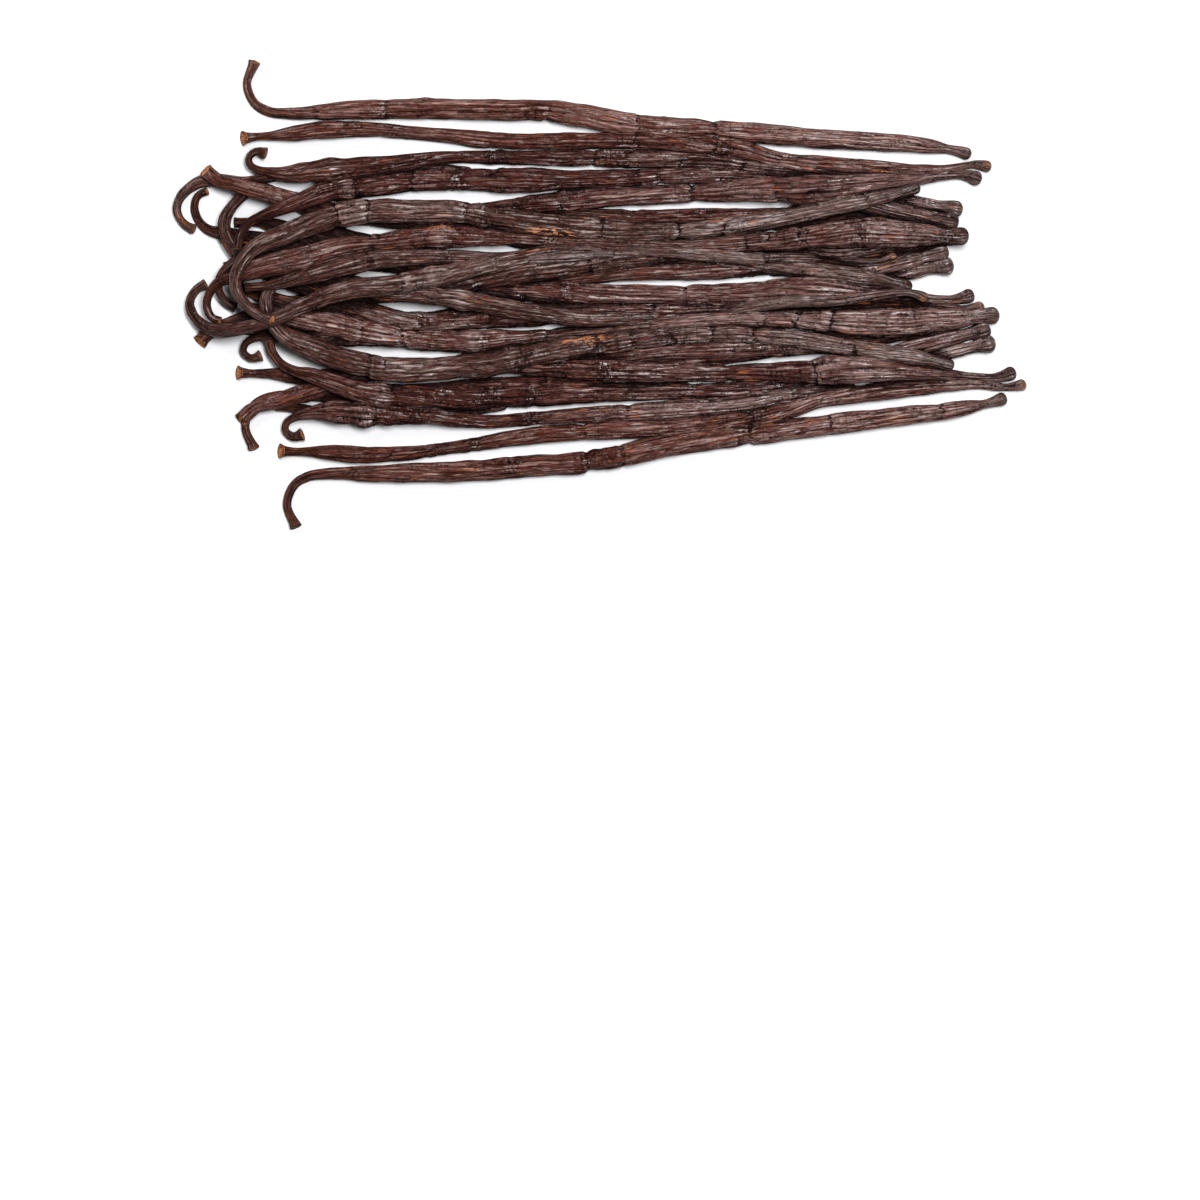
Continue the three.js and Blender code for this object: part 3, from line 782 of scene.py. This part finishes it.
# %% Lay the pods
FIRST_DRAW, SEEDS_A_POD = 100, 20
lowest_corner, highest_corner = np.full(3, np.inf), np.full(3, -np.inf)
order = [(handful, name) for handful in HANDFULS for name in HANDFUL]
for number, (handful, name) in enumerate(order):
    draw = np.random.default_rng(FIRST_DRAW + number)
    look = LOOKS[look_of[name]]
    line = stations_along(placed(HANDFUL[name], handful))
    settle(line)
    skin = pod_skin(name, line, handful, look, draw, SEEDS_A_POD * number)
    fresh = FRESH_ENDS.get(name, draw.uniform(*OLD_ENDS))
    slant_cut(skin, line, OLD_SLANT + FRESH_SLANT * fresh)
    press(skin, softened(skin_map))
    stamp_skin(skin)

    points = np.stack([skin.x, skin.y, skin.z], axis=-1)
    skin.tone = draw.uniform(-1, 1)
    values = {key: getattr(skin, key) for key in PAINTED}
    turns = np.linspace(0, math.pi / 2, DOME_STEPS + 1)[1:-1]
    dome = [(math.cos(turn), DOME_LENGTH * line.width[-1] * math.sin(turn)) for turn in turns]
    rings, middle = drawn_in(skin, -1, dome, line.heading[:, -1])
    peak = middle + np.array([*line.heading[:, -1], 0]) * DOME_LENGTH * line.width[-1]
    grown = np.concatenate([points, rings])
    repeat = {key: np.concatenate([value, np.repeat(value[-1:], len(rings), 0)])
              for key, value in values.items() if np.ndim(value) == 2}
    straight = np.concatenate([skin.straight, np.repeat(skin.straight[-1:], len(rings), 0)])
    meshes[look_of[name]].add_rings(grown, straight, {**values, **repeat}, close_end=peak)

    steps = [(share, depth * line.width[0]) for share, depth in DISH]
    dish, middle = drawn_in(skin, 0, steps, line.heading[:, 0])
    face = np.stack([points[0], *dish])[::-1]
    ends.add_rings(face, face, {"fresh": fresh, "grey": RIM_DARKNESS}, close_start=np.mean(dish[-1], axis=0))
    lowest_corner = np.minimum(lowest_corner, grown.reshape(-1, 3).min(axis=0))
    highest_corner = np.maximum(highest_corner, grown.reshape(-1, 3).max(axis=0))

print("laid, mm:", (highest_corner - lowest_corner).round(1), "pile height:", highest_corner[2].round(1))

# %% [markdown]
# The pile is moved so that its middle is the imported bundle's middle, and each look becomes an
# object. Where two pods touch, hardly any light gets in, and that is painted in as shade. A blurred
# copy of the map tells how high a point's surroundings stand over it, which costs less than tracing rays.

# %% Objects
SURROUNDINGS_CELLS, SURROUNDINGS_SPREAD = 18, 6
node_middle = (np.array(node_low) + np.array(node_high)) / 2 / MM
shift = node_middle - (lowest_corner + highest_corner) / 2
shift[2] = 0.0
surroundings = softened(skin_map, SURROUNDINGS_CELLS, SURROUNDINGS_SPREAD)
pieces = {name: meshes[name].build("pods_" + name, shift, surroundings) for name in LOOKS}
cut_ends = ends.build("cut_ends", shift, surroundings)
print("shift, mm:", shift.round(2))

# %% [markdown]
# Materials are networks of nodes. Two small helpers keep them readable: one adds a node and fills
# its sockets, the other starts a node group with named sockets.

# %% Helpers for nodes
MIX_FACTOR, MIX_A, MIX_B, MIX_RESULT = 0, 6, 7, 2


def add(tree, kind, sockets=None, **settings):
    """Adds a node, sets its options, and fills or links its sockets."""
    made = tree.nodes.new("ShaderNode" + kind)
    for option, value in settings.items():
        setattr(made, option, value)
    for socket, value in (sockets or {}).items():
        if isinstance(value, bpy.types.NodeSocket):
            tree.links.new(value, made.inputs[socket])
        else:
            made.inputs[socket].default_value = value
    return made


def maths(tree, operation, first, second=0.0, clamp=False):
    """One sum on two values."""
    return add(tree, "Math", {0: first, 1: second}, operation=operation, use_clamp=clamp).outputs[0]


def weighed(tree, *parts, clamp=False):
    """The sum of several values, each given with its weight."""
    total = 0.0
    for value, weight in parts:
        total = add(tree, "Math", {0: value, 1: weight, 2: total}, operation="MULTIPLY_ADD").outputs[0]
    return maths(tree, "ADD", total, 0.0, clamp=clamp)


def ranged(tree, value, low, high, to_low=0.0, to_high=1.0):
    """A value's range from low to high, spread over another range and held there."""
    sockets = {"Value": value, "From Min": low, "From Max": high, "To Min": to_low, "To Max": to_high}
    return add(tree, "MapRange", sockets, interpolation_type="SMOOTHSTEP").outputs[0]


def blended(tree, amount, first, second):
    """A mix of two colours."""
    sockets = {MIX_FACTOR: amount, MIX_A: first, MIX_B: second}
    return add(tree, "Mix", sockets, data_type="RGBA").outputs[MIX_RESULT]


def between(tree, value, rise, fall):
    """One between two ranges of a value, rising over the first and falling over the second."""
    return maths(tree, "MULTIPLY", ranged(tree, value, *rise), ranged(tree, value, *fall, 1.0, 0.0))


def stretched_noise(tree, straight, fineness, stretch, detail=3.0):
    """Noise with cells so many to the millimetre across a pod, and so many times longer along it."""
    along = maths(tree, "DIVIDE", fineness, stretch)
    cells = add(tree, "CombineXYZ", {"X": fineness, "Y": fineness, "Z": along}).outputs[0]
    place = add(tree, "VectorMath", {0: straight, 1: cells}, operation="MULTIPLY").outputs[0]
    sockets = {"Vector": place, "Scale": 1.0, "Detail": detail, "Roughness": 0.6}
    return add(tree, "TexNoise", sockets, noise_dimensions="3D").outputs[0]


def group(name, inputs, outputs):
    """Starts a node group. An input is a name and a value, which also says what kind it is."""
    tree = bpy.data.node_groups.new(name, "ShaderNodeTree")
    for label, value in inputs.items():
        size = len(value) if hasattr(value, "__len__") else 1
        kind = {1: "NodeSocketFloat", 3: "NodeSocketVector", 4: "NodeSocketColor"}[size]
        tree.interface.new_socket(label, in_out="INPUT", socket_type=kind).default_value = value
    for label, kind in outputs.items():
        tree.interface.new_socket(label, in_out="OUTPUT", socket_type="NodeSocket" + kind)
    return tree, tree.nodes.new("NodeGroupInput").outputs, tree.nodes.new("NodeGroupOutput").inputs


def placed_group(tree, of_group, sockets):
    """Puts a node group into a material with its own values."""
    return add(tree, "Group", sockets, node_tree=of_group).outputs


print("node helpers are defined")

# %% [markdown]
# Fibres. Seen close, the skin is drawn into threads finer than the folds, all running the pod's
# way. An image of bark would show a seam where its edges meet round the pod. Noise has none,
# because it is read at a place on the skin, and that place is stretched along the pod. Where the
# noise crosses its middle value lie thin unbroken lines, and these make the finest grooves.

# %% Group: fibres along the pod
GROOVE_HALF_WIDTH = 0.05
FIBRE_RANGE = (0.36, 0.64)
THREAD_FINENESS = 1.9
fibres, given, made = group(
    "fibres along the pod",
    {"Straight": (0.0, 0.0, 0.0), "Fineness": 1.0, "Stretch": 10.0},
    {"Fibre": "Float", "Thread": "Float", "Groove": "Float"})
broad = stretched_noise(fibres, given["Straight"], given["Fineness"], given["Stretch"], detail=2.0)
finer = maths(fibres, "MULTIPLY", given["Fineness"], THREAD_FINENESS)
thin = stretched_noise(fibres, given["Straight"], finer, given["Stretch"], detail=2.0)
from_middle = maths(fibres, "ABSOLUTE", maths(fibres, "SUBTRACT", broad, 0.5))
fibres.links.new(ranged(fibres, broad, *FIBRE_RANGE), made["Fibre"])
fibres.links.new(ranged(fibres, thin, *FIBRE_RANGE), made["Thread"])
fibres.links.new(ranged(fibres, from_middle, 0.0, GROOVE_HALF_WIDTH, 1.0, 0.0), made["Groove"])
print("group:", fibres.name)

# %% [markdown]
# Fine creases across the pod, in patches and in the knots. They break the long glints into dashes.

# %% Group: creases across the pod
CREASE_FINENESS, CREASE_STRETCH, PATCH_STRETCH = 0.8, 0.6, 2.5
CREASE_RANGE, PATCH_RANGE = (0.42, 0.62), (0.48, 0.66)
CREASES_IN_PATCHES = 0.5
creases, given, made = group(
    "creases across the pod",
    {"Straight": (0.0, 0.0, 0.0), "Spacing": 1.0, "Patch size": 7.0, "Knot": 0.0},
    {"Crease": "Float", "Patch": "Float"})
across = maths(creases, "DIVIDE", CREASE_FINENESS, given["Spacing"])
lines = stretched_noise(creases, given["Straight"], across, CREASE_STRETCH)
wide = maths(creases, "DIVIDE", PATCH_STRETCH, given["Patch size"])
patches = stretched_noise(creases, given["Straight"], wide, PATCH_STRETCH, detail=1.0)
patch = ranged(creases, patches, *PATCH_RANGE)
creased = weighed(creases, (patch, CREASES_IN_PATCHES), (given["Knot"], 1.0), clamp=True)
creases.links.new(
    maths(creases, "MULTIPLY", ranged(creases, lines, *CREASE_RANGE), creased), made["Crease"])
creases.links.new(patch, made["Patch"])
print("group:", creases.name)

# %% [markdown]
# Cracks. The mesh stores at each point how far past the nearest crack it lies. That number runs
# evenly from ring to ring, so the shader can cut a line from it far sharper than the rings are
# apart. A crack gapes only in places, and there its line is painted dark as a painted shadow. The
# skin behind it has sunk, and the lip before it stands up, is polished and is painted paler as a
# painted highlight.

# %% Group: cracks across the pod
RAGGEDNESS = 2.4
GAPING_RANGE = (0.42, 0.56)
# distances past a crack, in millimetres
OPEN_END = (0.12, 0.70)
SUNK_START, SUNK_END = (-0.12, 0.08), (0.1, 1.8)
LIP_START, LIP_END = (-1.4, -0.5), (-0.5, -0.2)
split, given, made = group(
    "cracks across the pod",
    {"Past": 3.0, "Strength": 0.0, "Straight": (0.0, 0.0, 0.0)},
    {"Dark": "Float", "Sunk": "Float", "Lip": "Float"})
ragged = stretched_noise(split, given["Straight"], fineness=1.6, stretch=1.5, detail=1.0)
ragged = maths(split, "MULTIPLY", maths(split, "SUBTRACT", ragged, 0.5), RAGGEDNESS)
past = maths(split, "ADD", given["Past"], ragged)
gaping = stretched_noise(split, given["Straight"], fineness=0.9, stretch=0.8, detail=1.0)
gaping = ranged(split, gaping, *GAPING_RANGE)
opened = maths(split, "MULTIPLY", given["Strength"], gaping)
open_line = ranged(split, maths(split, "ABSOLUTE", past), *OPEN_END, 1.0, 0.0)
split.links.new(maths(split, "MULTIPLY", open_line, opened), made["Dark"])
behind = between(split, past, SUNK_START, SUNK_END)
split.links.new(maths(split, "MULTIPLY", behind, given["Strength"]), made["Sunk"])
before = between(split, past, LIP_START, LIP_END)
split.links.new(maths(split, "MULTIPLY", before, given["Strength"]), made["Lip"])
print("group:", split.name)

# %% [markdown]
# The skin's colour. Ridges are painted paler, partly the skin's own streaks and partly a painted
# sheen, and folds are painted darker as painted shade. Here and there a bare fibre shows orange in
# thin lines, and more of these show on the bent stem. The tip dries to a grey.

# %% Group: cured skin colour
EMBER_RANGE, EMBER_PLACES = (0.61, 0.67), (0.55, 0.63)
STEM_EMBERS, STEM_PLACES = 0.045, 0.5
skin_colour, given, made = group(
    "cured skin colour",
    {"Dark": (0.01, 0.005, 0.004, 1.0), "Middle": (0.05, 0.02, 0.02, 1.0), "Pale": (0.15, 0.1, 0.09, 1.0),
     "Ember": (0.3, 0.09, 0.03, 1.0), "Grey": (0.06, 0.05, 0.045, 1.0), "Ridge": 0.5, "Shade": 0.0,
     "Greyness": 0.0, "Stem": 0.0, "Ember lines": 0.0, "Straight": (0.0, 0.0, 0.0)},
    {"Color": "Color"})
base = blended(skin_colour, given["Ridge"], given["Middle"], given["Pale"])
base = blended(skin_colour, given["Greyness"], base, given["Grey"])
base = blended(skin_colour, given["Shade"], base, given["Dark"])
lines = stretched_noise(skin_colour, given["Straight"], fineness=3.0, stretch=20.0, detail=1.5)
lines = weighed(skin_colour, (lines, 1.0), (given["Stem"], STEM_EMBERS))
lines = ranged(skin_colour, lines, *EMBER_RANGE)
where = stretched_noise(skin_colour, given["Straight"], fineness=0.5, stretch=5.0, detail=1.0)
where = ranged(skin_colour, where, *EMBER_PLACES)
where = weighed(skin_colour, (where, 1.0), (given["Stem"], STEM_PLACES), clamp=True)
lines = maths(skin_colour, "MULTIPLY", lines, where)
lines = maths(skin_colour, "MULTIPLY", lines, given["Ember lines"], clamp=True)
skin_colour.links.new(blended(skin_colour, lines, base, given["Ember"]), made["Color"])
print("group:", skin_colour.name)

# %% [markdown]
# Gloss. Handling has polished the ridges, the knots and the lips of the cracks, and left the grooves
# matt. A coat is laid on the polished places alone, so the grooves stay a deep red black. It is
# broken into short dashes by the same threads that colour the skin.

# %% Group: polish on the ridges
SPOT_RANGE = (0.42, 0.66)
polish, given, made = group(
    "polish on the ridges",
    {"Straight": (0.0, 0.0, 0.0), "Fibre": 0.5, "Thread": 0.5, "Crease": 0.0, "Patch": 0.0, "Lip": 0.0,
     "Knot": 0.0, "Worn": 0.0, "Shade": 0.0, "Greyness": 0.0},
    {"Coat": "Float"})
spots = stretched_noise(polish, given["Straight"], fineness=0.7, stretch=3.5)
spots = ranged(polish, spots, *SPOT_RANGE)
coat = weighed(polish, (given["Fibre"], 0.5), (given["Thread"], 0.7), (given["Patch"], 0.35),
               (given["Crease"], -0.9), (given["Lip"], 0.6), (given["Knot"], 0.8), (spots, 0.5),
               (given["Worn"], 0.4), (given["Shade"], -1.5), (given["Greyness"], -0.2), (1.0, -0.3),
               clamp=True)
polish.links.new(coat, made["Coat"])
print("group:", polish.name)

# %% [markdown]
# One material for each look. They share the five groups and differ in their colours, in how fine
# the fibres are and in how soft the gloss of the polish is. The shader itself stays in the material.

# %% Skin materials
# dark is where the painted shade and the darker stems go, pale where the paler streaks and the painted sheen
# go
SKINS = {
    "reddish": SimpleNamespace(
        dark=(0.018, 0.004, 0.003), middle=(0.116, 0.028, 0.016), pale=(0.28, 0.145, 0.122),
        ember=0.8, fineness=1.9, satin=0.34),
    "glossy": SimpleNamespace(
        dark=(0.010, 0.002, 0.002), middle=(0.088, 0.020, 0.013), pale=(0.25, 0.142, 0.128),
        ember=0.5, fineness=1.8, satin=0.26),
    "slender": SimpleNamespace(
        dark=(0.010, 0.002, 0.001), middle=(0.090, 0.021, 0.013), pale=(0.25, 0.142, 0.127),
        ember=0.6, fineness=2.0, satin=0.28),
    "greyish": SimpleNamespace(
        dark=(0.014, 0.004, 0.003), middle=(0.086, 0.027, 0.019), pale=(0.27, 0.172, 0.154),
        ember=0.6, fineness=2.0, satin=0.36),
    "broad": SimpleNamespace(
        dark=(0.014, 0.003, 0.002), middle=(0.108, 0.028, 0.018), pale=(0.30, 0.180, 0.162),
        ember=0.5, fineness=1.9, satin=0.32),
}
GREY = (0.120, 0.074, 0.064)
EMBER = (0.58, 0.165, 0.050)
SCAR = (0.56, 0.23, 0.105)
STRETCH = 9.0
CREASE_SPACING, CREASE_PATCH = 0.8, 6.0
FLECK_RANGE = (0.46, 0.52)
BARE_ROUGHNESS, BARE_SHINE = 0.42, 0.15
BUMP_DEPTH = 0.00045


def attribute(tree, name, output="Fac"):
    """A painted value of the mesh."""
    return add(tree, "Attribute", attribute_name=name, attribute_type="GEOMETRY").outputs[output]


def skin_material(name, skin):
    """The finish of one look."""
    material = bpy.data.materials.new("skin " + name)
    material.use_nodes = True
    tree = material.node_tree
    shader = tree.nodes["Principled BSDF"]
    straight = attribute(tree, "straight", "Vector")
    on_skin = SimpleNamespace(**{value: attribute(tree, value) for value in (*PAINTED, "crevice")})
    thread = placed_group(
        tree, fibres, {"Straight": straight, "Fineness": skin.fineness, "Stretch": STRETCH})
    crease = placed_group(tree, creases, {
        "Straight": straight, "Spacing": CREASE_SPACING, "Patch size": CREASE_PATCH, "Knot": on_skin.knot})
    crack = placed_group(
        tree, split, {"Past": on_skin.past, "Strength": on_skin.strength, "Straight": straight})

    # towards pale: the fibres' own streaks and tone, and a painted sheen in patches, towards the tips, on
    # knuckles and on crack lips
    streaks_and_sheen = weighed(tree, (thread["Fibre"], 0.5), (thread["Thread"], 0.5), (crease["Patch"], 0.35),
                    (on_skin.tone, 0.15), (on_skin.segment, 0.25), (on_skin.pale, 0.6),
                    (crack["Lip"], 0.5), (on_skin.fold, -0.6), (on_skin.knot, -0.3), (1.0, -0.32),
                    clamp=True)
    # towards dark: painted shade in the grooves, folds, creases, cracks, crevices and on the flanks, the
    # stems' own darker colour, and each pod's and segment's tone
    shade_and_dark_stems = weighed(tree, (thread["Groove"], 0.5), (on_skin.fold, 0.85), (crease["Crease"], 0.6),
                    (crack["Dark"], 1.0), (on_skin.crevice, 1.0), (on_skin.flank, 0.35),
                    (on_skin.stem, 0.25), (on_skin.tone, -0.08), (on_skin.segment, -0.1), (1.0, -0.08),
                    clamp=True)
    colour = placed_group(tree, skin_colour, {
        "Dark": (*skin.dark, 1), "Middle": (*skin.middle, 1), "Pale": (*skin.pale, 1), "Ember": (*EMBER, 1),
        "Grey": (*GREY, 1), "Ridge": streaks_and_sheen, "Shade": shade_and_dark_stems, "Greyness": on_skin.grey,
        "Stem": on_skin.stem, "Ember lines": skin.ember, "Straight": straight})
    flecks = ranged(tree, stretched_noise(tree, straight, fineness=1.6, stretch=3.0), *FLECK_RANGE)
    rubbed = maths(tree, "MULTIPLY", on_skin.scar, flecks)
    tree.links.new(blended(tree, rubbed, colour["Color"], (*SCAR, 1)), shader.inputs["Base Color"])

    polished = placed_group(tree, polish, {
        "Straight": straight, "Fibre": thread["Fibre"], "Thread": thread["Thread"],
        "Crease": crease["Crease"], "Patch": crease["Patch"], "Lip": crack["Lip"], "Knot": on_skin.knot,
        "Worn": on_skin.pale, "Shade": shade_and_dark_stems, "Greyness": on_skin.grey})
    tree.links.new(polished["Coat"], shader.inputs["Coat Weight"])
    height = weighed(tree, (thread["Fibre"], 0.6), (thread["Thread"], 0.15), (thread["Groove"], -0.4),
                     (crease["Crease"], -0.7), (crack["Sunk"], -1.0), (crack["Lip"], 0.3))
    bump = add(tree, "Bump", {"Height": height, "Strength": 1.0, "Distance": BUMP_DEPTH})
    tree.links.new(bump.outputs[0], shader.inputs["Normal"])
    shader.inputs["Roughness"].default_value = BARE_ROUGHNESS
    shader.inputs["Specular IOR Level"].default_value = BARE_SHINE
    shader.inputs["Coat Roughness"].default_value = skin.satin
    return material


for name, piece in pieces.items():
    piece.data.materials.append(skin_material(name, SKINS[name]))
    print("material:", piece.data.materials[0].name)

# %% [markdown]
# The cut ends. A fresh break is bright orange fibre, and an old one has gone brown. The painted
# value "fresh" says which, and "grey" marks the dark rim. Dried sap darkens the face in patches.

# %% Material of the cut ends
# the darker and the paler fibre of a fresh cut and of an old one
FRESH_FIBRE = (0.18, 0.050, 0.018), (0.74, 0.29, 0.110)
OLD_FIBRE = (0.020, 0.012, 0.009), (0.11, 0.055, 0.032)
SAP = (0.022, 0.013, 0.010)
FRESH_RANGE, OLD_RANGE, SAP_RANGE = (0.40, 0.56), (0.38, 0.62), (0.60, 0.66)
GRAIN_FINENESS, GRAIN_DEPTH, SAP_FINENESS = 3.4, 0.0003, 0.55

cut_material = bpy.data.materials.new("cut fibre")
cut_material.use_nodes = True
tree = cut_material.node_tree
shader = tree.nodes["Principled BSDF"]
straight = attribute(tree, "straight", "Vector")
grain = stretched_noise(tree, straight, GRAIN_FINENESS, stretch=1.0)
bright, old = (
    blended(tree, ranged(tree, grain, *limits), (*darker, 1), (*paler, 1))
    for limits, (darker, paler) in ((FRESH_RANGE, FRESH_FIBRE), (OLD_RANGE, OLD_FIBRE)))
fibre = blended(tree, attribute(tree, "fresh"), old, bright)
sap = ranged(tree, stretched_noise(tree, straight, SAP_FINENESS, stretch=1.0), *SAP_RANGE)
sap = weighed(tree, (sap, 0.85), (attribute(tree, "grey"), 1.0), clamp=True)
tree.links.new(blended(tree, sap, fibre, (*SAP, 1)), shader.inputs["Base Color"])
bump = add(tree, "Bump", {"Height": grain, "Strength": 0.8, "Distance": GRAIN_DEPTH})
tree.links.new(bump.outputs[0], shader.inputs["Normal"])
shader.inputs["Roughness"].default_value = 0.75
shader.inputs["Specular IOR Level"].default_value = 0.3
cut_ends.data.materials.append(cut_material)
print("material:", cut_material.name)

# %% [markdown]
# A plain pale floor, large enough to fill the view from the sides too.

# %% Floor
FLOOR_SIDE = 6.0
bpy.ops.mesh.primitive_plane_add(size=FLOOR_SIDE)
floor = bpy.context.active_object
floor.name = "floor"
floor_material = bpy.data.materials.new("pale floor")
floor_material.use_nodes = True
floor_shader = floor_material.node_tree.nodes["Principled BSDF"]
floor_shader.inputs["Base Color"].default_value = (0.90, 0.90, 0.92, 1.0)
floor_shader.inputs["Roughness"].default_value = 0.9
floor_shader.inputs["Specular IOR Level"].default_value = 0.1
floor.data.materials.append(floor_material)
print("floor side, m:", FLOOR_SIDE)

# %% [markdown]
# Each piece is hung under the root body, and the imported bundle is hidden.

# %% Attach the pieces
for piece in (*pieces.values(), cut_ends):
    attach(piece, "root")
    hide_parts("vanilla_pods")
